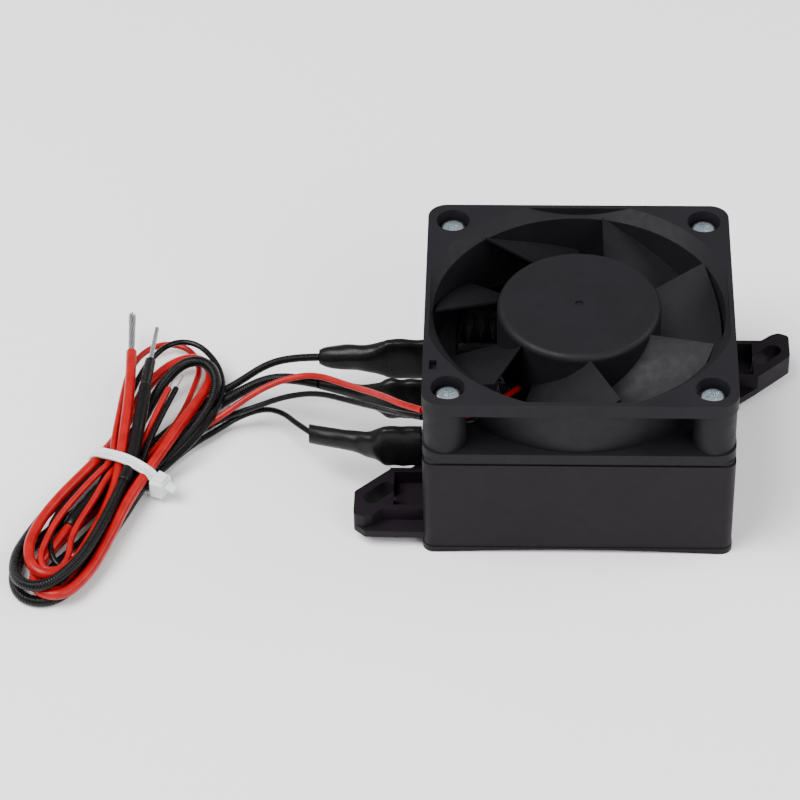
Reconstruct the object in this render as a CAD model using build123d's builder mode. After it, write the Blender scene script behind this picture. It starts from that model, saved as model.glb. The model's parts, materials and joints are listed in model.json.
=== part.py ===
"""Small PTC fan heater: an axial fan screwed onto a square heater housing, with its leads tied in a hank.

Millimetres, +Z up against the airflow, origin at the centre of the outlet face that the heater stands on.
The front is -Y, the terminals and leads leave the left wall (-X).
"""
from build123d import *
from math import cos, pi, radians, sin, sqrt, tan
import os

os.makedirs("parts", exist_ok=True)

# ---- driving dimensions -------------------------------------------------------------------------
FAN_W = 60.0            # standard fan, square
FAN_T = 15.0            # fan thickness
HOLE = 25.0             # half of the fan's 50 mm screw spacing
CORNER_R = 3.75
COVER_T = 1.4           # outlet cover at the bottom
HOUSING_TOP = 23.0
GASKET_T = 0.6
WALL = 1.8
SHELF = 6.6             # height of the ledge that the heater core stands on

FAN_Z = HOUSING_TOP + GASKET_T
TOP = FAN_Z + FAN_T
INNER = FAN_W / 2 - WALL

# fan
FLANGE_TOP_T = 3.0
FLANGE_LOW_T = 2.3
BORE_R = 28.5
BELL_R = 30.7           # lead-in of the bore at the top face
BELL_SQUARE = 58.0      # the lead-in is cut square at the flange's sides
BELL_DEPTH = 2.2
POST_R = 4.1
POST_AT = 25.7
BASE_R = 15.8           # motor base
BASE_T = 1.2
TUBE_R = 3.6            # bearing tube
BUSH_R = 2.6
SHAFT_R = 1.0
HUB_R = 16.0
HUB_IN_R = 14.9
HUB_TOP = TOP - 0.3
HUB_LOW = FAN_Z + 3.3
HUB_ROOF_T = 1.1
TIP_R = 27.9
BLADES = 7
BLADE_LEAD_DEG = 149.0  # direction of the first blade's middle plane at the hub
BLADE_HIGH = TOP - 1.6
BLADE_LOW = FAN_Z + 4.6
GAP = 0.05              # clearance between pressed-together round pieces

# heater core
FIN_X = 24.2            # half length of the fins
CORE_LOW = 7.7
CORE_HIGH = 16.7
CAP_IN_X = 24.3
CAP_OUT_X = 27.9
CORE_Y = 24.6           # half width of the stack between its side rails
RAIL_T = 1.6
STRIP_T = 0.5           # electrode
PLATE_T = 0.4           # contact plate on the far side of the chips
CHIP_T = 2.1
OUTER_STRIP_Y = 12.95   # middle of the two outer electrodes
MIDDLE_STRIP_Y = 0.9
TAB_X = -36.5           # free end of the terminal tabs
FIN_T = 0.16
FIN_PITCH = 2.42

# mounting ears, in the plan of the right ear: the left one is turned half a turn about Z
EAR_LOW = 2.4
EAR_WEB_TOP = 4.0
EAR_TOP = 7.0
SLOT_W = 3.3
SLOT_L = 7.2
SLOT_AT = (38.9, 20.9)

# leads
SUPPLY_D = 2.2
MIDDLE_D = 2.0
REAR_D = 1.6
FRONT_D = 1.2
FAN_RED_D = 1.3
FAN_BLACK_D = 1.2
HANK_LOW = 1.2
HANK_TOP = 6.4
TIE_W = 2.0
TIE_T = 1.0


def save(part, name):
    """Label one finished piece and write it as a STEP file."""
    part.label = name
    export_step(part, f"parts/{name}.step")


def at_z(height):
    return Plane.XY.offset(height)


# ---- outlet cover: the foot frame, with an upstand that carries the core ---------------------------
WINDOW = 49.0
UPSTAND_OUT = 2 * INNER - 0.2
ARCH_RISE = 0.9         # the foot is slightly hollow between its corners
ARCH_SPAN = 54.0
arch_radius = ((ARCH_SPAN / 2) ** 2 + ARCH_RISE ** 2) / (2 * ARCH_RISE)

with BuildPart() as outlet_cover:
    with BuildSketch(at_z(0)):
        RectangleRounded(FAN_W + 0.3, FAN_W + 0.3, 2.2)
    extrude(amount=COVER_T)
    with BuildSketch(at_z(COVER_T)):
        Rectangle(UPSTAND_OUT, UPSTAND_OUT)
    extrude(amount=SHELF - COVER_T)
    with BuildSketch(at_z(0)):
        Rectangle(WINDOW, WINDOW)
    extrude(amount=SHELF, mode=Mode.SUBTRACT)
    for side in (Plane.XZ, Plane.YZ):
        with BuildSketch(side):
            with Locations((0, ARCH_RISE - arch_radius)):
                Circle(arch_radius)
        extrude(amount=FAN_W, both=True, mode=Mode.SUBTRACT)
save(outlet_cover.part, "outlet_cover")


# ---- heater housing with its two ears ---------------------------------------------------------------
def half_turn(points):
    return [(-x, -y) for x, y in points]


EAR_WEB = [(29, 7.0), (36.5, 13.7), (43.7, 20.5), (43.7, 26.6), (41.4, 28.6), (29, 28.8)]
EAR_LUG = [(36.7, 13.9), (43.7, 20.5), (43.7, 26.8), (41.6, 27.7), (40.0, 27.0), (38.0, 25.3), (36.7, 25.3)]
EAR_BOX = [(29, 13.7), (36.9, 13.7), (36.9, 25.3), (29, 25.3)]
EAR_POCKET = [(30, 14.9), (36.0, 14.9), (36.0, 24.2), (30, 24.2)]
TAB_SLOT_T = 1.8
TAB_SLOT_LOW = CORE_LOW - 0.6
TAB_SLOT_HIGH = CORE_HIGH + 0.6
BOSS_LOW = 18.4
PILOT_R = 1.25
STRIP_YS = (-OUTER_STRIP_Y, MIDDLE_STRIP_Y, OUTER_STRIP_Y)

with BuildPart() as heater_housing:
    with BuildSketch(at_z(COVER_T)):
        RectangleRounded(FAN_W, FAN_W, 2.0)
        Rectangle(2 * INNER, 2 * INNER, mode=Mode.SUBTRACT)
    extrude(amount=HOUSING_TOP - COVER_T)
    with BuildSketch(at_z(BOSS_LOW)):
        with GridLocations(2 * HOLE, 2 * HOLE, 2, 2):
            Circle(POST_R)
        Rectangle(2 * INNER + 0.4, 2 * INNER + 0.4, mode=Mode.INTERSECT)
    extrude(amount=HOUSING_TOP - BOSS_LOW)
    for turned in (False, True):
        for outline, low, high in (
            (EAR_WEB, EAR_LOW, EAR_WEB_TOP),
            (EAR_LUG, EAR_WEB_TOP, EAR_TOP),
            (EAR_BOX, EAR_WEB_TOP, EAR_TOP),
        ):
            with BuildSketch(at_z(low)) as ear_plan:
                with BuildLine():
                    Polyline(*(half_turn(outline) if turned else outline), close=True)
                make_face()
                if outline is not EAR_BOX:
                    outer = ear_plan.vertices().filter_by(lambda v: abs(v.X) > 38.5)
                    fillet(outer, 1.1)
            extrude(amount=high - low)
        with BuildSketch(at_z(EAR_WEB_TOP)):
            with BuildLine():
                Polyline(*(half_turn(EAR_POCKET) if turned else EAR_POCKET), close=True)
            make_face()
        extrude(amount=EAR_TOP - EAR_WEB_TOP, mode=Mode.SUBTRACT)
    with BuildSketch(at_z(EAR_LOW)):
        with Locations(Location(SLOT_AT, 45), Location((-SLOT_AT[0], -SLOT_AT[1]), 45)):
            SlotOverall(SLOT_L, SLOT_W)
    extrude(amount=EAR_TOP - EAR_LOW, mode=Mode.SUBTRACT)
    with BuildSketch(Plane.YZ.offset(-FAN_W / 2)):
        with Locations(*[(y, (TAB_SLOT_LOW + TAB_SLOT_HIGH) / 2) for y in STRIP_YS]):
            Rectangle(TAB_SLOT_T, TAB_SLOT_HIGH - TAB_SLOT_LOW)
    extrude(amount=WALL, mode=Mode.SUBTRACT)
    with BuildSketch(at_z(BOSS_LOW)):
        with GridLocations(2 * HOLE, 2 * HOLE, 2, 2):
            Circle(PILOT_R)
    extrude(amount=HOUSING_TOP - BOSS_LOW, mode=Mode.SUBTRACT)
save(heater_housing.part, "heater_housing")

with BuildPart() as foam_gasket:
    with BuildSketch(at_z(HOUSING_TOP)):
        RectangleRounded(FAN_W - 0.8, FAN_W - 0.8, 1.8)
        Circle(BORE_R, mode=Mode.SUBTRACT)
        with GridLocations(2 * HOLE, 2 * HOLE, 2, 2):
            Circle(2.0, mode=Mode.SUBTRACT)
    extrude(amount=GASKET_T)
save(foam_gasket.part, "foam_gasket")


# ---- heater core ------------------------------------------------------------------------------------
def strip(low_y, high_y, left_x, right_x, low_z, high_z):
    """A flat plate standing in the XZ plane."""
    with BuildPart() as plate:
        with BuildSketch(at_z(low_z)):
            with Locations(((left_x + right_x) / 2, (low_y + high_y) / 2)):
                Rectangle(right_x - left_x, high_y - low_y)
        extrude(amount=high_z - low_z)
    return plate.part


def corrugated_fin(low_y, high_y):
    """One folded strip whose folds touch the plates on both sides."""
    rise = high_y - low_y
    folds = round(4 * FIN_X / FIN_PITCH)
    half_pitch = 2 * FIN_X / folds
    slope = rise / half_pitch
    skew = FIN_T * sqrt(1 + slope ** 2)
    crests = [(-FIN_X + i * half_pitch, high_y if i % 2 else low_y + skew) for i in range(folds + 1)]
    troughs = [(x, y - skew) for x, y in reversed(crests)]
    with BuildPart() as fin:
        with BuildSketch(at_z(CORE_LOW)):
            with BuildLine():
                Polyline(*crests, *troughs, close=True)
            make_face()
        extrude(amount=CORE_HIGH - CORE_LOW)
    return fin.part


def chip_row(low_y):
    """Three ceramic chips side by side."""
    length = 2 * FIN_X / 3 - 0.6
    with BuildPart() as row:
        with BuildSketch(at_z(CORE_LOW + 0.4)):
            with Locations((0, low_y + CHIP_T / 2)):
                with GridLocations(2 * FIN_X / 3, 1, 3, 1):
                    Rectangle(length, CHIP_T)
        extrude(amount=CORE_HIGH - CORE_LOW - 0.8)
    return row.part


half_strip = STRIP_T / 2
chip_in_y = OUTER_STRIP_Y - half_strip - CHIP_T
plate_in_y = chip_in_y - PLATE_T
for name, y in (("front", -OUTER_STRIP_Y), ("middle", MIDDLE_STRIP_Y), ("rear", OUTER_STRIP_Y)):
    save(strip(y - half_strip, y + half_strip, TAB_X, FIN_X, CORE_LOW, CORE_HIGH), f"electrode_{name}")
save(chip_row(-OUTER_STRIP_Y + half_strip), "ptc_chips_front")
save(chip_row(chip_in_y), "ptc_chips_rear")
save(strip(-chip_in_y, -plate_in_y, -FIN_X, FIN_X, CORE_LOW, CORE_HIGH), "contact_plate_front")
save(strip(plate_in_y, chip_in_y, -FIN_X, FIN_X, CORE_LOW, CORE_HIGH), "contact_plate_rear")
save(corrugated_fin(-CORE_Y, -OUTER_STRIP_Y - half_strip), "fin_front_outer")
save(corrugated_fin(-plate_in_y, MIDDLE_STRIP_Y - half_strip), "fin_front_inner")
save(corrugated_fin(MIDDLE_STRIP_Y + half_strip, plate_in_y), "fin_rear_inner")
save(corrugated_fin(OUTER_STRIP_Y + half_strip, CORE_Y), "fin_rear_outer")

for name, sign in (("front", -1), ("rear", 1)):
    edges = sorted((sign * CORE_Y, sign * (CORE_Y + RAIL_T)))
    save(strip(edges[0], edges[1], -FIN_X, FIN_X, CORE_LOW, CORE_HIGH), f"core_rail_{name}")

for name, sign in (("left", -1), ("right", 1)):
    with BuildPart() as end_cap:
        with BuildSketch(at_z(SHELF)):
            with Locations((sign * (CAP_IN_X + CAP_OUT_X) / 2, 0)):
                RectangleRounded(CAP_OUT_X - CAP_IN_X, 2 * (CORE_Y + RAIL_T), 0.8)
        extrude(amount=CORE_HIGH + 1.1 - SHELF)
        if name == "left":
            with BuildSketch(at_z(CORE_LOW)):
                with Locations(*[(-(CAP_IN_X + CAP_OUT_X) / 2, y) for y in STRIP_YS]):
                    Rectangle(CAP_OUT_X - CAP_IN_X, STRIP_T + 0.1)
            extrude(amount=CORE_HIGH - CORE_LOW, mode=Mode.SUBTRACT)
    save(end_cap.part, f"core_end_cap_{name}")


# ---- fan frame --------------------------------------------------------------------------------------
BARREL_TOP_R = 29.9
BARREL_LOW_R = 29.3
COUNTERBORE_R = 3.3
COUNTERBORE_DEPTH = 3.6
SCREW_HOLE_R = 1.8
STRUT_W = 2.6
BASE_RIM_T = 1.1
BASE_RIM_H = 0.7
WIRE_ANGLE = 225.0
WIRE_SLOT_W = 3.4
WIRE_SLOT_HIGH = 3.6
flange_low_top = FAN_Z + FLANGE_LOW_T
flange_top_low = TOP - FLANGE_TOP_T

with BuildPart() as fan_frame:
    for low, thickness in ((FAN_Z, FLANGE_LOW_T), (flange_top_low, FLANGE_TOP_T)):
        with BuildSketch(at_z(low)):
            RectangleRounded(FAN_W, FAN_W, CORNER_R)
        extrude(amount=thickness)
    with BuildSketch(at_z(flange_low_top)):
        Circle(BARREL_LOW_R)
    with BuildSketch(at_z(flange_top_low)):
        Circle(BARREL_TOP_R)
    loft()
    with BuildSketch(at_z(flange_low_top)):
        with GridLocations(2 * POST_AT, 2 * POST_AT, 2, 2):
            Circle(POST_R)
    extrude(amount=flange_top_low - flange_low_top)
    with BuildSketch(at_z(FAN_Z)):
        Circle(BORE_R)
    extrude(amount=FAN_T, mode=Mode.SUBTRACT)
    with BuildPart(mode=Mode.PRIVATE) as bell:
        with BuildSketch(at_z(TOP - BELL_DEPTH)):
            Circle(BORE_R)
        with BuildSketch(at_z(TOP)):
            Circle(BELL_R)
        loft()
        with BuildSketch(at_z(TOP - BELL_DEPTH)):
            Rectangle(BELL_SQUARE, BELL_SQUARE)
        extrude(amount=BELL_DEPTH, mode=Mode.INTERSECT)
    add(bell.part, mode=Mode.SUBTRACT)
    with BuildSketch(at_z(FAN_Z)):
        Circle(BASE_R)
        with PolarLocations((BASE_R + BORE_R) / 2, 4, start_angle=45):
            Rectangle(BORE_R - BASE_R + 2.0, STRUT_W)
    extrude(amount=BASE_T)
    with BuildSketch(at_z(FAN_Z + BASE_T)):
        Circle(BASE_R)
        Circle(BASE_R - BASE_RIM_T, mode=Mode.SUBTRACT)
    extrude(amount=BASE_RIM_H)
    with BuildSketch(at_z(FAN_Z)):
        Circle(TUBE_R)
    extrude(amount=HUB_TOP - 3.2 - FAN_Z)
    with BuildSketch(at_z(FAN_Z)):
        Circle(BUSH_R + GAP)
    extrude(amount=HUB_TOP - 3.2 - FAN_Z, mode=Mode.SUBTRACT)
    with BuildSketch(at_z(FAN_Z + BASE_T)):
        with PolarLocations(BASE_R, 1, start_angle=WIRE_ANGLE):
            Rectangle(3 * BASE_RIM_T, WIRE_SLOT_W)
    extrude(amount=BASE_RIM_H, mode=Mode.SUBTRACT)
    with BuildSketch(at_z(flange_low_top)):
        with PolarLocations(BORE_R, 1, start_angle=WIRE_ANGLE):
            Rectangle(4.0, WIRE_SLOT_W)
    extrude(amount=WIRE_SLOT_HIGH, mode=Mode.SUBTRACT)
    with BuildSketch(at_z(FAN_Z)):
        with GridLocations(2 * HOLE, 2 * HOLE, 2, 2):
            Circle(SCREW_HOLE_R)
    extrude(amount=FAN_T, mode=Mode.SUBTRACT)
    with BuildSketch(at_z(TOP - COUNTERBORE_DEPTH)):
        with GridLocations(2 * HOLE, 2 * HOLE, 2, 2):
            Circle(COUNTERBORE_R)
    extrude(amount=COUNTERBORE_DEPTH, mode=Mode.SUBTRACT)
    with BuildSketch(at_z(TOP - 1.2)):
        with Locations((-28.0, -18.6)):
            Rectangle(1.4, 2.6)
    extrude(amount=1.2, mode=Mode.SUBTRACT)
save(fan_frame.part, "fan_frame")

# ---- four cross-recess screws that hold the fan to the housing -----------------------------------------
SCREW_HEAD_R = 2.6
SCREW_HEAD_T = 2.0
SCREW_LOW = 19.0
head_low = TOP - COUNTERBORE_DEPTH

with BuildPart() as fan_screws:
    with BuildSketch(at_z(head_low)):
        with GridLocations(2 * HOLE, 2 * HOLE, 2, 2):
            Circle(SCREW_HEAD_R)
    extrude(amount=SCREW_HEAD_T)
    fillet(fan_screws.edges().group_by(Axis.Z)[-1], 0.8)
    with BuildSketch(at_z(SCREW_LOW)):
        with GridLocations(2 * HOLE, 2 * HOLE, 2, 2):
            Circle(PILOT_R - GAP)
    extrude(amount=head_low - SCREW_LOW)
    with BuildSketch(at_z(head_low + SCREW_HEAD_T - 1.0)):
        with GridLocations(2 * HOLE, 2 * HOLE, 2, 2):
            Rectangle(2.6, 0.6, rotation=30)
            Rectangle(0.6, 2.6, rotation=30)
    extrude(amount=1.0, mode=Mode.SUBTRACT)
save(fan_screws.part, "fan_screws")

# ---- fan motor, standing half ---------------------------------------------------------------------------
BOARD_R = 14.0
BOARD_T = 0.8
CORE_RING_R = 6.2
ARM_W = 3.2
ARM_END = 10.4
POLE_R = 12.3
LAMINATION_LOW = 29.2
LAMINATION_HIGH = 33.2
BOBBIN_R = 4.9
FLANGE_R = 11.4
COIL = (6.5, 9.4, 4.0)  # inner end, outer end and half width of a coil
COIL_LOW = 28.3
COIL_HIGH = 34.1
BOBBIN_TOP = 34.7
board_low = FAN_Z + BASE_T
board_top = board_low + BOARD_T

with BuildPart() as bearing_cap:
    with BuildSketch(at_z(FAN_Z)):
        Circle(BUSH_R)
    extrude(amount=0.6)
save(bearing_cap.part, "bearing_cap")

with BuildPart() as bearing_bush:
    with BuildSketch(at_z(FAN_Z + 2.4)):
        Circle(BUSH_R)
        Circle(SHAFT_R + GAP, mode=Mode.SUBTRACT)
    extrude(amount=9.0)
save(bearing_bush.part, "bearing_bush")

with BuildPart() as fan_board:
    with BuildSketch(at_z(board_low)):
        Circle(BOARD_R)
        Circle(TUBE_R + GAP, mode=Mode.SUBTRACT)
    extrude(amount=BOARD_T)
save(fan_board.part, "fan_circuit_board")

with BuildPart() as fan_driver:
    with BuildSketch(at_z(board_top)):
        with Locations(Location((9.6, 3.5), 20)):
            Rectangle(3.0, 4.2)
        with Locations(Location((-6.5, 8.5), 50)):
            Rectangle(1.8, 3.2)
        with Locations(Location((-9.5, 4.0), -20)):
            Rectangle(1.6, 1.0)
    extrude(amount=0.9)
save(fan_driver.part, "fan_driver_chips")

with BuildPart() as bobbin:
    with BuildSketch(at_z(board_top)):
        Circle(BOBBIN_R)
        Circle(TUBE_R + GAP, mode=Mode.SUBTRACT)
    extrude(amount=BOBBIN_TOP - board_top)
    for low in (COIL_LOW - 0.5, COIL_HIGH + 0.1):
        with BuildSketch(at_z(low)):
            Circle(FLANGE_R)
            Circle(BOBBIN_R, mode=Mode.SUBTRACT)
            with PolarLocations(FLANGE_R, 4, start_angle=45):
                Circle(4.6, mode=Mode.SUBTRACT)
        extrude(amount=0.5)
save(bobbin.part, "stator_bobbin")

with BuildPart() as stator:
    with BuildSketch(at_z(LAMINATION_LOW)):
        Circle(POLE_R)
        Circle(ARM_END, mode=Mode.SUBTRACT)
        with PolarLocations((ARM_END + POLE_R) / 2, 4, start_angle=45):
            Rectangle(6, 3.0, mode=Mode.SUBTRACT)
        Circle(CORE_RING_R)
        with PolarLocations((CORE_RING_R + ARM_END) / 2, 4):
            Rectangle(ARM_END - CORE_RING_R + 1.4, ARM_W)
        Circle(BOBBIN_R + GAP, mode=Mode.SUBTRACT)
    extrude(amount=LAMINATION_HIGH - LAMINATION_LOW)
save(stator.part, "stator_laminations")

with BuildPart() as windings:
    with BuildSketch(at_z(COIL_LOW)):
        with PolarLocations((COIL[0] + COIL[1]) / 2, 4):
            RectangleRounded(COIL[1] - COIL[0], 2 * COIL[2], 0.6)
    extrude(amount=COIL_HIGH - COIL_LOW)
    with BuildSketch(at_z(LAMINATION_LOW - 0.15)):
        with PolarLocations((COIL[0] + COIL[1]) / 2, 4):
            Rectangle(COIL[1] - COIL[0] + 1, ARM_W + 0.3)
    extrude(amount=LAMINATION_HIGH - LAMINATION_LOW + 0.3, mode=Mode.SUBTRACT)
save(windings.part, "stator_windings")

# ---- fan motor, turning half ------------------------------------------------------------------------------
BLADE_IN = 13.5         # distances of the two blade sections from the axis
BLADE_OUT = 31.0
BLADE_IN_SPAN = (-4.6, 6.0)
BLADE_OUT_SPAN = (-3.6, 23.4)
BLADE_T = 1.3
BLADE_EDGE_T = 0.55
BLADE_CAMBER = 1.1


def blade_section(middle_deg, distance, span):
    """Cambered blade outline on a plane square to the radius, low trailing edge to high leading edge."""
    direction = Vector(cos(radians(middle_deg)), sin(radians(middle_deg)), 0)
    along = Vector(-direction.Y, direction.X, 0)
    plane = Plane(origin=direction * distance, x_dir=along, z_dir=direction)
    low, high = (span[0], BLADE_LOW), (span[1], BLADE_HIGH)
    mid = ((low[0] + high[0]) / 2, (low[1] + high[1]) / 2)
    with BuildSketch(plane) as section:
        with BuildLine():
            ThreePointArc(low, (mid[0], mid[1] - BLADE_CAMBER), high)
            Line(high, (high[0], high[1] + BLADE_EDGE_T))
            upper = (mid[0], mid[1] - BLADE_CAMBER + BLADE_T)
            ThreePointArc((high[0], high[1] + BLADE_EDGE_T), upper, (low[0], low[1] + BLADE_EDGE_T))
            Line((low[0], low[1] + BLADE_EDGE_T), low)
        make_face()
    return section


with BuildPart() as hub:
    with BuildSketch(at_z(HUB_LOW)):
        Circle(HUB_R)
    extrude(amount=HUB_TOP - HUB_LOW)
    fillet(hub.edges().group_by(Axis.Z)[-1], 1.4)

with BuildPart() as impeller:
    for k in range(BLADES):
        middle = BLADE_LEAD_DEG + k * 360 / BLADES
        root = blade_section(middle, BLADE_IN, BLADE_IN_SPAN)
        tip = blade_section(middle, BLADE_OUT, BLADE_OUT_SPAN)
        loft([root.sketch, tip.sketch])
    with BuildSketch(at_z(HUB_LOW)):
        Circle(TIP_R)
    extrude(amount=HUB_TOP - HUB_LOW, mode=Mode.INTERSECT)
    add(hub.part)
    with BuildSketch(at_z(HUB_LOW)):
        Circle(HUB_IN_R)
    extrude(amount=HUB_TOP - HUB_ROOF_T - HUB_LOW, mode=Mode.SUBTRACT)
    with BuildSketch(at_z(HUB_TOP - 2.4)):
        Circle(3.0)
    extrude(amount=2.0)
    with BuildSketch(at_z(HUB_TOP - 2.4)):
        Circle(SHAFT_R + GAP / 2)
    extrude(amount=1.6, mode=Mode.SUBTRACT)
    with BuildSketch(at_z(HUB_TOP - 0.3)):
        Circle(0.8)
    extrude(amount=0.3, mode=Mode.SUBTRACT)
save(impeller.part, "impeller")

yoke_top = HUB_TOP - HUB_ROOF_T - GAP
with BuildPart() as yoke:
    with BuildSketch(at_z(HUB_LOW + 0.7)):
        Circle(HUB_IN_R - GAP)
    extrude(amount=yoke_top - HUB_LOW - 0.7)
    with BuildSketch(at_z(HUB_LOW + 0.7)):
        Circle(14.2)
    extrude(amount=yoke_top - 0.7 - HUB_LOW - 0.7, mode=Mode.SUBTRACT)
    with BuildSketch(at_z(yoke_top - 0.7)):
        Circle(3.2)
    extrude(amount=0.7, mode=Mode.SUBTRACT)
save(yoke.part, "rotor_yoke")

with BuildPart() as magnet:
    with BuildSketch(at_z(HUB_LOW + 1.1)):
        Circle(14.2 - GAP)
        Circle(12.9, mode=Mode.SUBTRACT)
    extrude(amount=7.2)
save(magnet.part, "rotor_magnet")

with BuildPart() as shaft:
    with BuildSketch(at_z(FAN_Z + 1.0)):
        Circle(SHAFT_R)
    extrude(amount=HUB_TOP - 0.9 - FAN_Z - 1.0)
    with BuildSketch(at_z(FAN_Z + 1.5)):
        Circle(SHAFT_R)
        Circle(SHAFT_R - 0.3, mode=Mode.SUBTRACT)
    extrude(amount=0.4, mode=Mode.SUBTRACT)
save(shaft.part, "rotor_shaft")

with BuildPart() as retainer:
    with BuildSketch(at_z(FAN_Z + 1.55)):
        Circle(1.9)
        Circle(SHAFT_R - 0.25, mode=Mode.SUBTRACT)
    extrude(amount=0.3)
save(retainer.part, "shaft_retainer")


# ---- cord tubes -----------------------------------------------------------------------------------------
def corner_radii(points):
    """The largest radius that each corner's two runs allow."""
    radii = []
    for before, corner, after in zip(points, points[1:], points[2:]):
        arriving = Vector(corner) - Vector(before)
        leaving = Vector(after) - Vector(corner)
        half_turn_angle = radians(arriving.get_angle(leaving)) / 2
        radii.append(0.45 * min(arriving.length, leaving.length) / tan(half_turn_angle))
    return radii


def tube(points, diameter, name):
    """A round cord along straight runs joined by tangent arcs."""
    radii = corner_radii(points)
    with BuildPart() as cord:
        with BuildLine() as route:
            FilletPolyline(*points, radius=radii)
        with BuildSketch(Plane(origin=route.line @ 0, z_dir=route.line % 0)):
            Circle(diameter / 2)
        sweep()
    length = route.wires()[0].length
    expected = length * pi * diameter ** 2 / 4
    print(f"{name}: {length:.1f} mm, tightest radius {min(radii):.1f}, volume {cord.part.volume / expected:.3f}")
    save(cord.part, name)


WIRE_EXIT_X = -30.2
RED_EXIT = (WIRE_EXIT_X, -20.2, 28.4)
BLACK_EXIT = (WIRE_EXIT_X, -20.4, 26.7)


def on_strut(reach, aside, height):
    """A point above the strut that carries the fan's wires."""
    turn = radians(WIRE_ANGLE)
    return (reach * cos(turn) - aside * sin(turn), reach * sin(turn) + aside * cos(turn), height)


inner_z = FAN_Z + BASE_T + 0.7
RED_INNER = [on_strut(14.3, -0.8, inner_z), on_strut(21, -0.8, inner_z + 0.05), on_strut(26.6, -0.8, inner_z + 0.5),
             on_strut(31.0, -0.6, 28.15), (-24.6, -20.4, 28.4), RED_EXIT]
BLACK_INNER = [on_strut(14.3, 0.8, inner_z), on_strut(20.6, 0.8, inner_z + 0.1), on_strut(26.2, 0.8, inner_z + 0.95),
               on_strut(30.6, 0.7, 26.75), (-25.0, -20.5, 26.8), BLACK_EXIT]
tube(RED_INNER, FAN_RED_D, "fan_wire_inner_red")
tube(BLACK_INNER, FAN_BLACK_D, "fan_wire_inner_black")

# ---- shrink sleeves over the terminal tabs -----------------------------------------------------------------
SLEEVE_X = -30.6


def sleeve(name, tab_y, sections):
    """Loft flat section over the tab to a round one round the lead; each section is (centre, width, height)."""
    with BuildPart() as body:
        for centre, width, height in sections:
            with BuildSketch(Plane(origin=centre, x_dir=(0, 1, 0), z_dir=(-1, 0, 0))):
                RectangleRounded(width, height, 0.48 * min(width, height))
        loft(ruled=True)
        with BuildSketch(at_z(CORE_LOW - 0.05)):
            with Locations(((SLEEVE_X + TAB_X) / 2, tab_y)):
                Rectangle(SLEEVE_X - TAB_X + 0.1, STRIP_T + 0.1)
        extrude(amount=CORE_HIGH - CORE_LOW + 0.1, mode=Mode.SUBTRACT)
    save(body.part, name)


TAB_Z = (CORE_LOW + CORE_HIGH) / 2
REAR_END = (-52.0, 14.2, 11.4)
MIDDLE_END = (-51.6, 6.2, 11.4)
FRONT_END = (-52.3, -7.4, 9.9)
sleeve("sleeve_rear", OUTER_STRIP_Y, [
    ((SLEEVE_X, OUTER_STRIP_Y, TAB_Z), 2.6, 9.8), ((-37.8, OUTER_STRIP_Y, TAB_Z), 2.8, 9.7),
    ((-42.2, 13.2, 12.1), 4.2, 5.8), ((-47.5, 13.8, 11.7), 4.2, 5.4), (REAR_END, 3.2, 3.6)])
sleeve("sleeve_middle", MIDDLE_STRIP_Y, [
    ((SLEEVE_X, MIDDLE_STRIP_Y, TAB_Z), 2.6, 9.8), ((-37.6, MIDDLE_STRIP_Y, TAB_Z), 2.6, 9.4),
    ((-42.2, 2.3, 12.1), 2.8, 3.8), ((-47.0, 4.3, 11.8), 2.7, 2.8), (MIDDLE_END, 2.6, 2.6)])
sleeve("sleeve_front", -OUTER_STRIP_Y, [
    ((SLEEVE_X, -OUTER_STRIP_Y, TAB_Z), 2.6, 9.6), ((-37.8, -OUTER_STRIP_Y, TAB_Z), 2.7, 9.4),
    ((-42.4, -11.8, 11.9), 3.7, 4.8), ((-47.5, -9.8, 11.1), 3.7, 4.1), (FRONT_END, 3.5, 3.9)])

# ---- leads between the heater and the hank -------------------------------------------------------------------
REAR_LEAD = [REAR_END, (-57.0, 14.9, 10.7), (-63.0, 15.3, 8.6), (-69.2, 13.8, 4.5), (-74.6, 11.2, 2.6)]
MIDDLE_LEAD = [MIDDLE_END, (-56.6, 8.6, 10.6), (-62.6, 10.9, 8.4), (-69.0, 11.2, 4.1), (-75.2, 8.0, 1.8)]
FRONT_LEAD = [FRONT_END, (-55.8, -3.4, 9.0), (-59.0, 2.4, 6.8), (-63.2, 6.6, 4.2), (-68.6, 6.0, 2.3), (-73.2, 2.2, 1.6),
              (-77.2, -1.5, 1.6)]
FAN_RED_LEAD = [RED_EXIT, (-33.9, -17.4, 27.1), (-38.6, -10.4, 23.4), (-45.2, -1.8, 18.0), (-52.4, 6.2, 13.9),
                (-58.6, 7.3, 11.7), (-64.8, 6.6, 8.7), (-71.6, 3.4, 4.9), (-77.4, 1.4, 1.9)]
FAN_BLACK_LEAD = [BLACK_EXIT, (-33.6, -18.0, 25.2), (-37.6, -12.0, 21.0), (-44.2, -4.2, 15.8), (-51.8, 2.6, 12.2),
                  (-58.6, 4.6, 9.3), (-64.4, 4.9, 6.3), (-70.2, 4.9, 3.7), (-75.7, 2.9, 1.6)]
tube(REAR_LEAD, REAR_D, "lead_heater_rear")
tube(MIDDLE_LEAD, MIDDLE_D, "lead_heater_middle")
tube(FRONT_LEAD, FRONT_D, "lead_heater_front")
tube(FAN_RED_LEAD, FAN_RED_D, "lead_fan_red")
tube(FAN_BLACK_LEAD, FAN_BLACK_D, "lead_fan_black")

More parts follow.
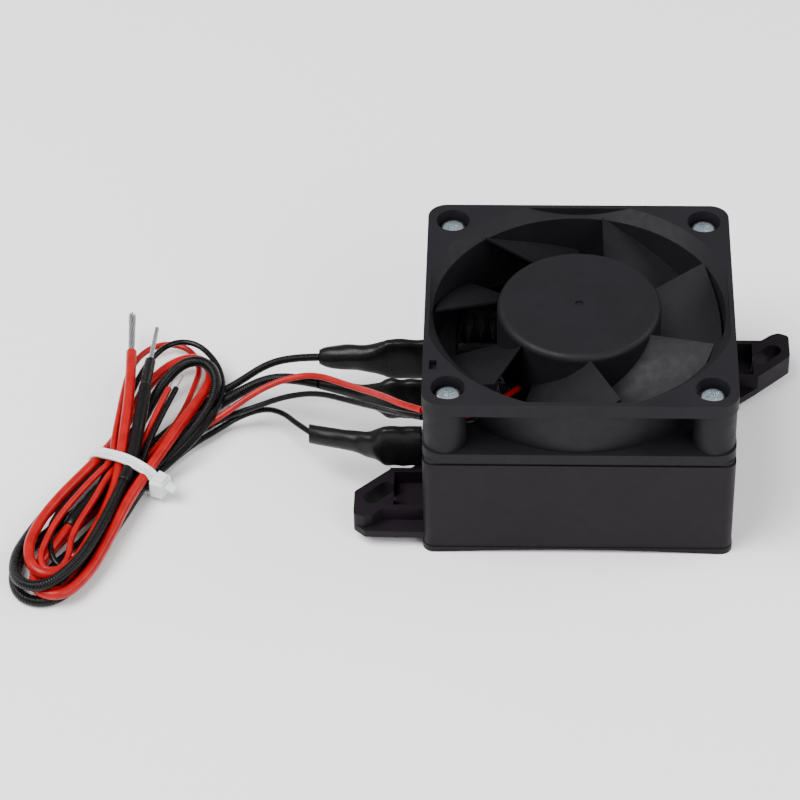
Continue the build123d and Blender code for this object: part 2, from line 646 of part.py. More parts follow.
# ---- the hank, its tie and the free ends -----------------------------------------------------------------------
HANK_OUTLINE = [(-111, -37), (-110, -43.5), (-105.5, -48), (-98.5, -48), (-92.6, -38), (-88, -24), (-85.1, -15.5),
                (-84, -13.3), (-76.5, -1.5), (-73.4, 9), (-73.4, 21), (-78, 28.8), (-85, 28.8), (-91.2, 22),
                (-92.4, 8), (-95.7, -7.3), (-96.8, -9.5), (-102.6, -18), (-107.8, -28)]
with BuildPart() as hank:
    with BuildSketch(at_z(HANK_LOW)):
        with BuildLine():
            Polyline(*HANK_OUTLINE, close=True)
        make_face()
    extrude(amount=HANK_TOP - HANK_LOW)
    chamfer(hank.edges().group_by(Axis.Z)[-1], 1.2)
save(hank.part, "lead_hank")

TIE_AT = (-90.4, -11.4, 0)
TIE_ALONG_DEG = 63.0    # direction of the hank where it is tied
TIE_SPAN = 15.4
TIE_HEAD = (3.0, 4.2, 4.2)  # across the hank, up and along it
TIE_HEAD_Z = 3.4
tie_dir = Vector(cos(radians(TIE_ALONG_DEG)), sin(radians(TIE_ALONG_DEG)), 0)
tie_plane = Plane(origin=TIE_AT, x_dir=Vector(tie_dir.Y, -tie_dir.X, 0), z_dir=tie_dir)
tie_sign = 1 if tie_plane.y_dir.Z > 0 else -1
tie_low = HANK_LOW - TIE_T
tie_high = HANK_TOP + TIE_T
with BuildPart() as tie:
    with BuildSketch(tie_plane):
        with Locations((0, tie_sign * (tie_low + tie_high) / 2)):
            RectangleRounded(TIE_SPAN, tie_high - tie_low, 2.6)
            RectangleRounded(TIE_SPAN - 2 * TIE_T, HANK_TOP - HANK_LOW, 1.7, mode=Mode.SUBTRACT)
    extrude(amount=TIE_W / 2, both=True)
    with BuildSketch(tie_plane):
        with Locations(((TIE_SPAN + TIE_HEAD[0]) / 2 - TIE_T / 2, tie_sign * TIE_HEAD_Z)):
            RectangleRounded(TIE_HEAD[0], TIE_HEAD[1], 0.7)
    extrude(amount=TIE_HEAD[2] / 2, both=True)
save(tie.part, "cable_tie")

SUPPLY_RED_END = [(-90.8, -4.0, 6.2), (-90.5, 3.2, 7.4), (-90.6, 11.0, 8.0), (-91.3, 19.8, 7.4)]
SUPPLY_BLACK_END = [(-88.2, -5.0, 6.0), (-87.6, 2.4, 7.6), (-87.4, 9.6, 8.2), (-87.1, 16.6, 7.9)]
FAN_RED_END = [(-87.2, -4.5, 4.0), (-85.6, 0.0, 5.6), (-84.1, 4.4, 6.8), (-82.7, 8.8, 7.4)]
FAN_BLACK_END = [(-85.7, -4.5, 5.0), (-84.1, 0.0, 6.3), (-82.6, 4.5, 7.0), (-81.2, 9.0, 7.3)]


def bare_strands(end_points, length, diameter, name):
    """Tinned strands standing out of the cut insulation, in line with it."""
    tip = Vector(end_points[-1])
    along = (tip - Vector(end_points[-2])).normalized()
    with BuildPart() as strands:
        with BuildSketch(Plane(origin=tip, z_dir=along)):
            Circle(diameter / 2)
        extrude(amount=length)
    save(strands.part, name)


for points, cord_d, name in (
    (SUPPLY_RED_END, SUPPLY_D, "supply_red"),
    (SUPPLY_BLACK_END, SUPPLY_D, "supply_black"),
    (FAN_RED_END, FAN_RED_D, "fan_red"),
    (FAN_BLACK_END, FAN_BLACK_D, "fan_black"),
):
    tube(points, cord_d, f"end_{name}")
for points, length, strand_d, name in (
    (SUPPLY_RED_END, 13.2, 1.5, "supply_red"),
    (SUPPLY_BLACK_END, 11.0, 1.1, "supply_black"),
    (FAN_RED_END, 1.6, 0.6, "fan_red"),
    (FAN_BLACK_END, 3.8, 0.5, "fan_black"),
):
    bare_strands(points, length, strand_d, f"strands_{name}")
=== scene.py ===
"""Small PTC fan heater with its leads tied in a hank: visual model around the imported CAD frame.

Lengths in the lists below are millimetres, in the CAD frame, and MM turns them into metres.
"""
import json
import math
import random

import bmesh
import bpy
from mathutils import Matrix, Vector


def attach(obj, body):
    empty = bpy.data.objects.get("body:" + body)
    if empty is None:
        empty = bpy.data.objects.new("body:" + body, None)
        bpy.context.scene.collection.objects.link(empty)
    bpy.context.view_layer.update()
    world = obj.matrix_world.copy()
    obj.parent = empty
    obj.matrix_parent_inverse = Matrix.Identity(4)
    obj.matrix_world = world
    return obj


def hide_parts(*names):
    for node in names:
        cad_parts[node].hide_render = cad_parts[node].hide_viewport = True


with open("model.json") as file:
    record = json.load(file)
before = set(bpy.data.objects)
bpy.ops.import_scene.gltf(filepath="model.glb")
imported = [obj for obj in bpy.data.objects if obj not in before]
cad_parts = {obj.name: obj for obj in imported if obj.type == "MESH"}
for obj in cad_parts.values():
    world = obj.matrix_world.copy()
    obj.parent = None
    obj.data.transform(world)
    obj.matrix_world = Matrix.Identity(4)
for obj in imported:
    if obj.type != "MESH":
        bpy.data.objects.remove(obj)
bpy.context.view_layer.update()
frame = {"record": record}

MM = 0.001
HEATER = "heater"
SPLINE_STEPS = 8        # points read from each span of a route's spline


# ---- camera ---------------------------------------------------------------------------------------
CAMERA_AT = (-10.67, -500.38, 465.34)
CAMERA_YAW_DEG = -2.82
CAMERA_PITCH_DEG = 42.10
CAMERA_ROLL_DEG = -1.46
LENS_MM = 152.2


def add_camera():
    yaw, pitch, roll = (math.radians(a) for a in (CAMERA_YAW_DEG, CAMERA_PITCH_DEG, CAMERA_ROLL_DEG))
    level = Vector((math.sin(yaw), math.cos(yaw), 0))
    right = Vector((math.cos(yaw), -math.sin(yaw), 0))
    forward = level * math.cos(pitch) - Vector((0, 0, math.sin(pitch)))
    up = level * math.sin(pitch) + Vector((0, 0, math.cos(pitch)))
    rolled_right = right * math.cos(roll) + up * math.sin(roll)
    rolled_up = up * math.cos(roll) - right * math.sin(roll)
    data = bpy.data.cameras.new("camera")
    data.lens = LENS_MM
    data.clip_start = 0.02
    camera = bpy.data.objects.new("camera", data)
    turn = Matrix((rolled_right, rolled_up, -forward)).transposed().to_4x4()
    camera.matrix_world = Matrix.Translation(Vector(CAMERA_AT) * MM) @ turn
    bpy.context.scene.collection.objects.link(camera)
    bpy.context.scene.camera = camera


# ---- materials --------------------------------------------------------------------------------------
class Nodes:
    """Short names for building one material's node tree."""

    def __init__(self, name):
        self.material = bpy.data.materials.new(name)
        self.material.use_nodes = True
        self.tree = self.material.node_tree
        self.shader = self.tree.nodes["Principled BSDF"]
        self.coords = self.tree.nodes.new("ShaderNodeTexCoord")

    def link(self, out, into):
        self.tree.links.new(out, into)

    def noise(self, per_mm, detail=3.0, stretch=(1, 1, 1)):
        """Noise with about per_mm cells to the millimetre, along each axis times stretch."""
        mapping = self.tree.nodes.new("ShaderNodeMapping")
        mapping.inputs["Scale"].default_value = [per_mm / MM * s for s in stretch]
        node = self.tree.nodes.new("ShaderNodeTexNoise")
        node.inputs["Scale"].default_value = 1.0
        node.inputs["Detail"].default_value = detail
        self.link(self.coords.outputs["Object"], mapping.inputs["Vector"])
        self.link(mapping.outputs["Vector"], node.inputs["Vector"])
        return node.outputs["Fac"]

    def wave(self, per_mm, coords, axis="X", distortion=0.0):
        mapping = self.tree.nodes.new("ShaderNodeMapping")
        mapping.inputs["Scale"].default_value = [per_mm / MM] * 3
        node = self.tree.nodes.new("ShaderNodeTexWave")
        node.bands_direction = axis
        node.inputs["Scale"].default_value = 0.05 * math.tau
        node.inputs["Distortion"].default_value = distortion
        self.link(self.coords.outputs[coords], mapping.inputs["Vector"])
        self.link(mapping.outputs["Vector"], node.inputs["Vector"])
        return node.outputs["Fac"]

    def ramp(self, fac, low, high, start=0.35, end=0.65):
        node = self.tree.nodes.new("ShaderNodeValToRGB")
        node.color_ramp.elements[0].position = start
        node.color_ramp.elements[1].position = end
        node.color_ramp.elements[0].color = (*low, 1)
        node.color_ramp.elements[1].color = (*high, 1)
        self.link(fac, node.inputs["Fac"])
        self.link(node.outputs["Color"], self.shader.inputs["Base Color"])

    def rough(self, fac, low, high):
        node = self.tree.nodes.new("ShaderNodeMapRange")
        node.inputs["From Min"].default_value = 0.3
        node.inputs["From Max"].default_value = 0.7
        node.inputs["To Min"].default_value = low
        node.inputs["To Max"].default_value = high
        self.link(fac, node.inputs["Value"])
        self.link(node.outputs["Result"], self.shader.inputs["Roughness"])

    def bump(self, *layers):
        """Stack bump layers, each (fac, depth in mm)."""
        before = None
        for fac, depth in layers:
            node = self.tree.nodes.new("ShaderNodeBump")
            node.inputs["Strength"].default_value = 1.0
            node.inputs["Distance"].default_value = depth * MM
            self.link(fac, node.inputs["Height"])
            if before is not None:
                self.link(before.outputs["Normal"], node.inputs["Normal"])
            before = node
        self.link(before.outputs["Normal"], self.shader.inputs["Normal"])

    def set(self, **values):
        for name, value in values.items():
            self.shader.inputs[name.replace("_", " ")].default_value = value


def shade(colour, factor):
    return tuple(min(1.0, c * factor) for c in colour)


def moulded_plastic(name, colour, low, high, grain_mm, depth, specular=0.11):
    """Plastic with a spark-eroded grain and faint handling marks."""
    m = Nodes(name)
    m.ramp(m.noise(0.12), shade(colour, 0.93), shade(colour, 1.07))
    grain = m.noise(1 / grain_mm, detail=2.0)
    m.rough(m.noise(0.5, detail=5.0), low, high)
    m.bump((grain, depth), (m.noise(0.25), depth))
    m.set(Specular_IOR_Level=specular)
    return m.material


def rolled_metal(name, colour, low, high, stretch=(1, 1, 1), depth=0.004):
    """Metal strip or sheet with fine drawing lines along the stretched axis."""
    m = Nodes(name)
    m.ramp(m.noise(0.6), shade(colour, 0.88), shade(colour, 1.06))
    lines = m.noise(6.0, detail=4.0, stretch=stretch)
    m.rough(lines, low, high)
    m.bump((lines, depth))
    m.set(Metallic=1.0)
    return m.material


def insulation(name, colour, low, high, ribs_per_mm=0.0, rib_depth=0.0, specular=0.25):
    """Wire insulation: smooth with faint waves, or ribbed along its own length."""
    m = Nodes(name)
    m.ramp(m.noise(0.35), shade(colour, 0.82), shade(colour, 1.12))
    m.rough(m.noise(1.6, detail=4.0), low, high)
    layers = [(m.noise(0.9), 0.03), (m.noise(5.0), 0.006)]
    if ribs_per_mm:
        layers.append((m.wave(ribs_per_mm, "UV", distortion=1.5), rib_depth))
    m.bump(*layers)
    m.set(Specular_IOR_Level=specular)
    return m.material


def foam():
    m = Nodes("gasket_foam")
    m.ramp(m.noise(2.0), (0.003, 0.003, 0.003), (0.009, 0.009, 0.009))
    m.rough(m.noise(3.0), 0.8, 0.95)
    m.bump((m.noise(4.0), 0.08))
    return m.material


def nylon():
    """Natural nylon of the cable tie, slightly translucent."""
    m = Nodes("tie_nylon")
    m.ramp(m.noise(0.5), (0.80, 0.81, 0.83), (0.90, 0.90, 0.91))
    m.rough(m.noise(1.5), 0.25, 0.42)
    m.bump((m.noise(1.2), 0.02))
    m.set(Subsurface_Weight=0.35, Subsurface_Scale=0.0012, Transmission_Weight=0.18, IOR=1.53)
    return m.material


def winding():
    m = Nodes("copper_wire")
    m.ramp(m.noise(1.0), (0.45, 0.16, 0.06), (0.62, 0.25, 0.09))
    turns = m.wave(5.0, "Object", axis="Z")
    m.rough(m.noise(2.0), 0.22, 0.4)
    m.bump((turns, 0.05))
    m.set(Metallic=0.8)
    return m.material


def ceramic():
    m = Nodes("ptc_ceramic")
    m.ramp(m.noise(2.5), (0.10, 0.095, 0.09), (0.20, 0.19, 0.18))
    m.rough(m.noise(4.0), 0.6, 0.8)
    m.bump((m.noise(6.0), 0.02))
    return m.material


def make_materials():
    return {
        "housing_plastic": moulded_plastic(
            "housing_plastic", (0.0085, 0.0062, 0.0088), 0.40, 0.52, 0.22, 0.010),
        "fan_plastic": moulded_plastic("fan_plastic", (0.0095, 0.0090, 0.0110), 0.46, 0.60, 0.16, 0.014),
        "impeller_plastic": moulded_plastic(
            "impeller_plastic", (0.0080, 0.0076, 0.0094), 0.42, 0.56, 0.22, 0.03, 0.13),
        "cap_plastic": moulded_plastic("cap_plastic", (0.05, 0.05, 0.055), 0.5, 0.65, 0.3, 0.010),
        "bobbin_plastic": moulded_plastic("bobbin_plastic", (0.70, 0.67, 0.60), 0.4, 0.5, 0.3, 0.010),
        "circuit_board": moulded_plastic("circuit_board", (0.03, 0.18, 0.06), 0.25, 0.4, 0.4, 0.006),
        "chip_epoxy": moulded_plastic("chip_epoxy", (0.02, 0.02, 0.022), 0.35, 0.5, 0.1, 0.010),
        "magnet_rubber": moulded_plastic("magnet_rubber", (0.08, 0.075, 0.07), 0.6, 0.75, 0.2, 0.010),
        "gasket_foam": foam(),
        "ptc_ceramic": ceramic(),
        "aluminium_fin": rolled_metal("aluminium_fin", (0.80, 0.81, 0.83), 0.28, 0.42, (0.1, 1, 1)),
        "electrode_metal": rolled_metal("electrode_metal", (0.74, 0.75, 0.77), 0.22, 0.36, (0.1, 1, 1)),
        "zinc_screw": rolled_metal("zinc_screw", (0.62, 0.69, 0.74), 0.16, 0.34, (1, 1, 1), 0.06),
        "steel": rolled_metal("steel", (0.60, 0.60, 0.61), 0.2, 0.34, (1, 1, 0.1)),
        "lamination_steel": rolled_metal(
            "lamination_steel", (0.32, 0.32, 0.33), 0.35, 0.5, (0.2, 0.2, 3), 0.02),
        "bronze": rolled_metal("bronze", (0.55, 0.38, 0.18), 0.3, 0.45),
        "tinned_copper": rolled_metal("tinned_copper", (0.55, 0.55, 0.56), 0.25, 0.4, (1, 1, 0.3), 0.008),
        "copper_wire": winding(),
        "shrink_sleeve": insulation("shrink_sleeve", (0.0042, 0.0036, 0.0038), 0.26, 0.40, specular=0.18),
        "red_insulation": insulation("red_insulation", (0.32, 0.0008, 0.0018), 0.28, 0.40),
        "black_insulation": insulation(
            "black_insulation", (0.0025, 0.0025, 0.0028), 0.20, 0.34, specular=0.18),
        "black_glass_braid": insulation(
            "black_glass_braid", (0.0025, 0.0025, 0.0028), 0.22, 0.36, 1.9, 0.07, 0.16),
        "tie_nylon": nylon(),
    }


def paint_frame(materials):
    """Give each CAD node the material of its slot in the record."""
    slots = {row["node"]: row["material_slot"] for row in frame["record"]["subparts"]}
    for node, slot_name in slots.items():
        data = bpy.data.objects[node].data
        data.materials.clear()
        data.materials.append(materials[slot_name])


# ---- mesh helpers -------------------------------------------------------------------------------------
def add_piece(name, mesh, material):
    piece = bpy.data.objects.new(name, mesh)
    bpy.context.scene.collection.objects.link(piece)
    mesh.materials.clear()
    mesh.materials.append(material)
    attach(piece, HEATER)
    return piece


def spline_curve(name, points):
    """A curve of one open quadratic NURBS spline with the given control points, in millimetres."""
    curve = bpy.data.curves.new(name, "CURVE")
    curve.dimensions = "3D"
    curve.resolution_u = SPLINE_STEPS
    spline = curve.splines.new("NURBS")
    spline.points.add(len(points) - 1)
    for knot, point in zip(spline.points, points):
        knot.co = (*(c * MM for c in point), 1)
    spline.order_u = 3
    spline.use_endpoint_u = True
    return curve


def points_along(points):
    """Points in metres read from the route's NURBS spline."""
    curve = spline_curve("route_probe", points)
    probe = bpy.data.objects.new("route_probe", curve)
    mesh = bpy.data.meshes.new_from_object(probe)
    found = [v.co.copy() for v in mesh.vertices]
    bpy.data.objects.remove(probe)
    bpy.data.curves.remove(curve)
    bpy.data.meshes.remove(mesh)
    return found


def frames_along(path):
    """Tangent, side and up vectors carried along a path without twist."""
    tangents = []
    for i, point in enumerate(path):
        ahead = path[min(i + 1, len(path) - 1)]
        behind = path[max(i - 1, 0)]
        tangents.append((ahead - behind).normalized())
    side = tangents[0].orthogonal().normalized()
    frames = []
    for tangent in tangents:
        side = (side - tangent * side.dot(tangent)).normalized()
        frames.append((tangent, side, tangent.cross(side)))
    return frames


def resample(path, step):
    """The same path at equal steps."""
    lengths = [0.0]
    for a, b in zip(path, path[1:]):
        lengths.append(lengths[-1] + (b - a).length)
    count = max(2, round(lengths[-1] / step))
    result, i = [], 0
    for k in range(count + 1):
        target = lengths[-1] * k / count
        while i < len(path) - 2 and lengths[i + 1] < target:
            i += 1
        span = max(lengths[i + 1] - lengths[i], 1e-12)
        result.append(path[i].lerp(path[i + 1], (target - lengths[i]) / span))
    return result


def tube_mesh(name, path, radius, sides=16, section=None):
    """Tube along a path; section(along, angle) scales the radius. U of its UV map is metres along."""
    bm = bmesh.new()
    uv_layer = bm.loops.layers.uv.new("UVMap")
    frames = frames_along(path)
    along, rings, distances = 0.0, [], []
    for k, (point, (_, side, up)) in enumerate(zip(path, frames)):
        if k:
            along += (point - path[k - 1]).length
        distances.append(along)
        ring = []
        for s in range(sides):
            angle = math.tau * s / sides
            r = radius if section is None else radius * section(along, angle)
            ring.append(bm.verts.new(point + (side * math.cos(angle) + up * math.sin(angle)) * r))
        rings.append(ring)
    girth = math.tau * radius
    for k, (low, high) in enumerate(zip(rings, rings[1:])):
        for s in range(sides):
            n = (s + 1) % sides
            face = bm.faces.new((low[s], low[n], high[n], high[s]))
            face.smooth = True
            spots = ((k, s), (k, s + 1), (k + 1, s + 1), (k + 1, s))
            for loop, (row, turn) in zip(face.loops, spots):
                loop[uv_layer].uv = (distances[row], girth * turn / sides)
    for ring, flip in ((rings[0], True), (rings[-1], False)):
        bm.faces.new(ring[::-1] if flip else ring)
    mesh = bpy.data.meshes.new(name)
    bm.to_mesh(mesh)
    bm.free()
    return mesh


def path_length(path):
    return sum((b - a).length for a, b in zip(path, path[1:]))


# ---- leads --------------------------------------------------------------------------------------------
# Free stretches, as in the CAD source, then the listed passes through the hank.
REAR_LEAD = [
    (-52, 14.2, 11.4), (-57, 14.9, 10.7), (-63, 15.3, 8.6), (-69.2, 13.8, 4.5), (-74.6, 11.2, 2.6),
]
MIDDLE_LEAD = [
    (-51.6, 6.2, 11.4), (-56.6, 8.6, 10.6), (-62.6, 10.9, 8.4), (-69, 11.2, 4.1), (-75.2, 8, 1.8),
]
FRONT_LEAD = [
    (-52.3, -7.4, 9.9), (-55.8, -3.4, 9), (-59, 2.4, 6.8), (-63.2, 6.6, 4.2), (-68.6, 6, 2.3),
    (-73.2, 2.2, 1.6), (-77.2, -1.5, 1.6),
]
FAN_RED_LEAD = [
    (-30.2, -20.2, 28.4), (-33.9, -17.4, 27.1), (-38.6, -10.4, 23.4), (-45.2, -1.8, 18), (-52.4, 6.2, 13.9),
    (-58.6, 7.3, 11.7), (-64.8, 6.6, 8.7), (-71.6, 3.4, 4.9), (-77.4, 1.4, 1.9),
]
FAN_BLACK_LEAD = [
    (-30.2, -20.4, 26.7), (-33.6, -18, 25.2), (-37.6, -12, 21), (-44.2, -4.2, 15.8), (-51.8, 2.6, 12.2),
    (-58.6, 4.6, 9.3), (-64.4, 4.9, 6.3), (-70.2, 4.9, 3.7), (-75.7, 2.9, 1.6),
]
SUPPLY_RED_END = [
    (-90.8, -4, 6.2), (-90.5, 3.2, 7.4), (-90.6, 11, 8), (-91.3, 19.8, 7.4),
]
SUPPLY_BLACK_END = [
    (-88.2, -5, 6), (-87.6, 2.4, 7.6), (-87.4, 9.6, 8.2), (-87.1, 16.6, 7.9),
]
FAN_RED_END = [
    (-87.2, -4.5, 4), (-85.6, 0, 5.6), (-84.1, 4.4, 6.8), (-82.7, 8.8, 7.4),
]
FAN_BLACK_END = [
    (-85.7, -4.5, 5), (-84.1, 0, 6.3), (-82.6, 4.5, 7), (-81.2, 9, 7.3),
]

# The two outer heater leads end in a splice inside the hank, where the red supply cord begins.
REAR_TO_SPLICE = [
    (-80.2, 6.2, 1.2), (-86, -1.2, 0.9), (-90.9, -6.6, 1.3), (-93.6, -10.2, 2.4), (-94.2, -14.4, 3.5),
    (-94.8, -18.4, 3.9),
]
FRONT_TO_SPLICE = [
    (-81.4, -6.2, 0.9), (-84.6, -9.8, 1.2), (-87.6, -13, 2), (-90.2, -15.6, 3.4), (-93.6, -18.2, 3.7),
]
SPLICE = [
    (-94.1, -17, 3.7), (-97, -22.5, 3.7), (-99.6, -28, 3.6),
]

# Each cord goes down the hank, round its lower end, up, over its upper end, and down and up once more.
SUPPLY_RED_TURNS = [
    (-99, -27.2, 3.6), (-102.4, -33.6, 3.2), (-105.2, -39.6, 3.1), (-104.2, -45.4, 3.2),
    (-98.6, -46.4, 3.2), (-94.4, -40.3, 3.2), (-91.4, -31.5, 3.8), (-88.6, -22, 5), (-85.5, -13.9, 5),
    (-82.2, -6.2, 5.5), (-79.2, 1, 5.7), (-76.6, 8.2, 5), (-74.8, 14.8, 3.9), (-75.2, 20.4, 3.5),
    (-79.6, 22.6, 3.7), (-84.6, 19.4, 3.5), (-88.4, 13.2, 3.1), (-90.6, 6, 2.4), (-92.8, -1.2, 2.4),
    (-95.5, -8.9, 4.3), (-98.6, -14.6, 4.7), (-102.2, -21, 4.9), (-105.2, -28, 5.2), (-106.8, -35.4, 5.4),
    (-105, -41.6, 5.3), (-100.8, -42.6, 4.8), (-97.2, -38, 4), (-94.8, -31, 3.7), (-92.7, -23.5, 3.9),
    (-91.2, -16.8, 4.7), (-91, -11.1, 5.1),
]
SUPPLY_BLACK_TURNS = [
    (-80.8, 1, 1.15), (-86.2, -6.6, 1.2), (-91, -11.6, 2), (-96.5, -18.2, 1.15), (-102.4, -25, 1.15),
    (-107.4, -31.5, 1.15), (-109.9, -38.5, 1.15), (-107.4, -45.4, 1.15), (-101, -46.2, 1.15),
    (-96.6, -40.6, 1.15), (-93.4, -32, 1.15), (-89.8, -22.5, 1.15), (-86.2, -13.6, 2.25), (-81.6, -6.4, 3.2),
    (-77, 0.6, 3.9), (-73.8, 7.4, 4.9), (-73.1, 13.6, 5.9), (-75.8, 18.6, 6.3), (-80.6, 18.4, 6.1),
    (-84.6, 12.4, 5.2), (-87.6, 5, 3.2), (-91.2, -3, 1.3), (-95.3, -9, 2), (-99.9, -15.4, 2.3),
    (-103.8, -21.6, 2.8), (-107, -29, 3.2), (-109.4, -37, 3.9), (-108, -44.6, 5), (-102.2, -46.6, 5.5),
    (-96.6, -40.6, 5.9), (-93.4, -32, 5.9), (-90.9, -22.8, 5.9), (-88.6, -12.1, 5.5),
]
FAN_RED_TURNS = [
    (-82.6, -3.8, 0.8), (-86.6, -8.8, 1), (-89.8, -11.9, 1.6), (-94.5, -19.4, 0.75), (-99.6, -27, 0.65),
    (-104, -34, 0.65), (-105, -40.6, 0.65), (-100.4, -43.2, 0.65), (-96.8, -37.5, 0.65),
    (-94.6, -28.5, 0.7), (-91.4, -19.2, 1.2), (-89.4, -14.2, 2), (-88.5, -10.8, 3.4), (-84.6, -5, 3.3),
    (-81.6, 1.6, 3), (-79.6, 8, 2.6), (-78.4, 15, 2), (-77.4, 21.5, 1.6), (-80, 27.3, 1.9),
    (-85.4, 28.8, 2.2), (-89.9, 25, 2.8), (-92, 18, 3.6), (-92.4, 10, 4.4), (-92.5, 3, 5.3),
    (-92.7, -4, 5.7), (-92.7, -10.3, 5), (-95.4, -15.4, 5.7), (-98.6, -21.6, 5.9), (-101.8, -28, 5.7),
    (-103.4, -34, 5.5), (-104.1, -37.8, 5.1), (-103, -41, 4.9), (-99.8, -41, 4.9),
    (-98.4, -37.6, 4.9), (-98.6, -33, 5.2),
    (-97.4, -28.4, 5.5), (-95, -22.4, 5.8), (-93.2, -16, 5.7), (-92, -10.6, 3.7),
    (-89.6, -7.6, 3.3),
]
FAN_BLACK_TURNS = [
    (-80.4, -2.8, 0.7), (-84.8, -8.9, 0.9), (-88.6, -12.4, 1.7), (-92.8, -20.4, 0.7), (-97.2, -28.6, 0.6),
    (-101.2, -34, 0.6), (-103.2, -37.4, 0.6), (-102.4, -40.6, 0.6), (-99.2, -40.6, 0.6), (-97.9, -36.6, 0.7),
    (-96.4, -30.8, 1.9), (-93.4, -26.4, 2.3), (-89.4, -21.6, 2.9), (-86.4, -17, 3.2), (-84.7, -14.2, 3.5),
    (-80.2, -8.6, 4), (-75.6, -2.2, 5), (-73.2, 3.4, 5.1), (-72.1, 9, 4.4), (-72.1, 14.4, 4.2),
    (-73.8, 20, 4.7), (-78.4, 25.6, 5.2), (-84, 25.6, 5.2), (-88.2, 19.6, 4.8), (-90.4, 12, 4.6),
    (-91.6, 4.5, 4.1),
    (-92.9, -3, 4.1), (-93.9, -9.7, 4.3), (-97.2, -15.4, 4.4), (-100.4, -21.4, 4.5), (-103, -27.5, 4.5),
    (-102.8, -32, 4.4), (-102.1, -36, 3.8), (-100.4, -38.4, 3.1), (-98.2, -37.2, 2.5), (-97.2, -33, 2.3),
    (-95.2, -27.6, 2.8), (-92, -21.8, 2.4), (-88.9, -16.4, 3.3), (-87.2, -11.8, 3.9), (-86.4, -8, 4.4),
]

SUPPLY_D = 2.2
REAR_D = 1.6
FRONT_D = 1.2
FAN_RED_D = 1.3
FAN_BLACK_D = 1.2
SPLICE_R = 1.6
END_SLEEVE_R = 1.32
TUBE_STEP = 0.4
RIBBED_STEP = 0.5
TUBE_DRAW = 1.6         # length over which a shrunk tube draws in at its ends
STRAND_SIDES = 6
STRAND_STEPS = 14
STRAND_ROOT = 1.5       # length of a strand inside the insulation
INNER_LANE = 0.35       # how far out the inner and outer strands lie, as shares of the bundle
OUTER_LANE = 0.85


def add_cord(name, points, diameter, material, nodes):
    """A smooth round cord that replaces the CAD tubes of its free stretches."""
    curve = spline_curve(name, points)
    curve.bevel_depth = diameter / 2 * MM
    curve.bevel_resolution = 5
    curve.use_fill_caps = True
    piece = add_piece(name, curve, material)
    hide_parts(*nodes)
    length = path_length(points_along(points))
    return piece


def add_ribbed_cord(name, points, diameter, material, nodes):
    """A cord with a fine rib texture, as a mesh tube along its NURBS route."""
    path = resample(points_along(points), RIBBED_STEP * MM)
    piece = add_piece(name, tube_mesh(name, path, diameter / 2 * MM, sides=14), material)
    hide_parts(*nodes)
    return piece


def stretch_between(points, start, end):
    """The part of a route between two distances in millimetres; negative ones count from its end."""
    path = resample(points_along(points), TUBE_STEP * MM)
    total = path_length(path) / MM
    first, last = (round((d if d >= 0 else total + d) / total * (len(path) - 1)) for d in (start, end))
    return path[first:last + 1]


def shrunk_tube(name, path, radius, material, wrinkles, seed, ends=0.75):
    """Heat-shrink tube: shallow random wrinkles, drawn in at both ends."""
    rng = random.Random(seed)
    waves = [(rng.uniform(0.5, 2.2), rng.uniform(0, math.tau), rng.randint(0, 3)) for _ in range(7)]
    total = path_length(path)

    def section(along, angle):
        edge = min(along, total - along) / (TUBE_DRAW * MM)
        draw = ends + (1 - ends) * min(1.0, edge) ** 0.5
        ripple = sum(math.sin(along / MM * rate + phase + turns * angle) for rate, phase, turns in waves)
        return draw + wrinkles * ripple / len(waves)

    mesh = tube_mesh(name, path, radius, sides=20, section=section)
    return add_piece(name, mesh, material)


def strand_bundle(name, tip, along, length, strands, strand_r, bundle_r, twist, splay, material, node, seed):
    """Bare twisted strands standing out of the insulation's cut end, in millimetres."""
    rng = random.Random(seed)
    across = along.orthogonal().normalized()
    other = along.cross(across)
    bm = bmesh.new()
    inner = max(1, strands // 3)
    for s in range(strands):
        lane = bundle_r * (INNER_LANE if s < inner else OUTER_LANE)
        phase = math.tau * (s / inner if s < inner else (s - inner) / (strands - inner))
        reach = length - rng.uniform(0, 0.05 * length)
        path = []
        for k in range(STRAND_STEPS + 1):
            t = k / STRAND_STEPS
            angle = phase + twist * t + 0.12 * math.sin(3 * t + s)
            out = lane * (1 + splay * t * t * (0.5 + rng.random() * 0.5))
            offset = across * math.cos(angle) + other * math.sin(angle)
            path.append((tip + along * (reach * t - STRAND_ROOT * (1 - t)) + offset * out) * MM)
        frames = frames_along(path)
        angles = [math.tau * a / STRAND_SIDES for a in range(STRAND_SIDES)]
        rings = []
        for point, (_, side, up) in zip(path, frames):
            rim = [point + (side * math.cos(a) + up * math.sin(a)) * strand_r * MM for a in angles]
            rings.append([bm.verts.new(at) for at in rim])
        for low, high in zip(rings, rings[1:]):
            for a in range(STRAND_SIDES):
                n = (a + 1) % STRAND_SIDES
                bm.faces.new((low[a], low[n], high[n], high[a])).smooth = True
        bm.faces.new(rings[0][::-1])
        bm.faces.new(rings[-1])
    mesh = bpy.data.meshes.new(name)
    bm.to_mesh(mesh)
    bm.free()
    piece = add_piece(name, mesh, material)
    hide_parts(node)
    return piece


def end_direction(points):
    return (Vector(points[-1]) - Vector(points[-2])).normalized()


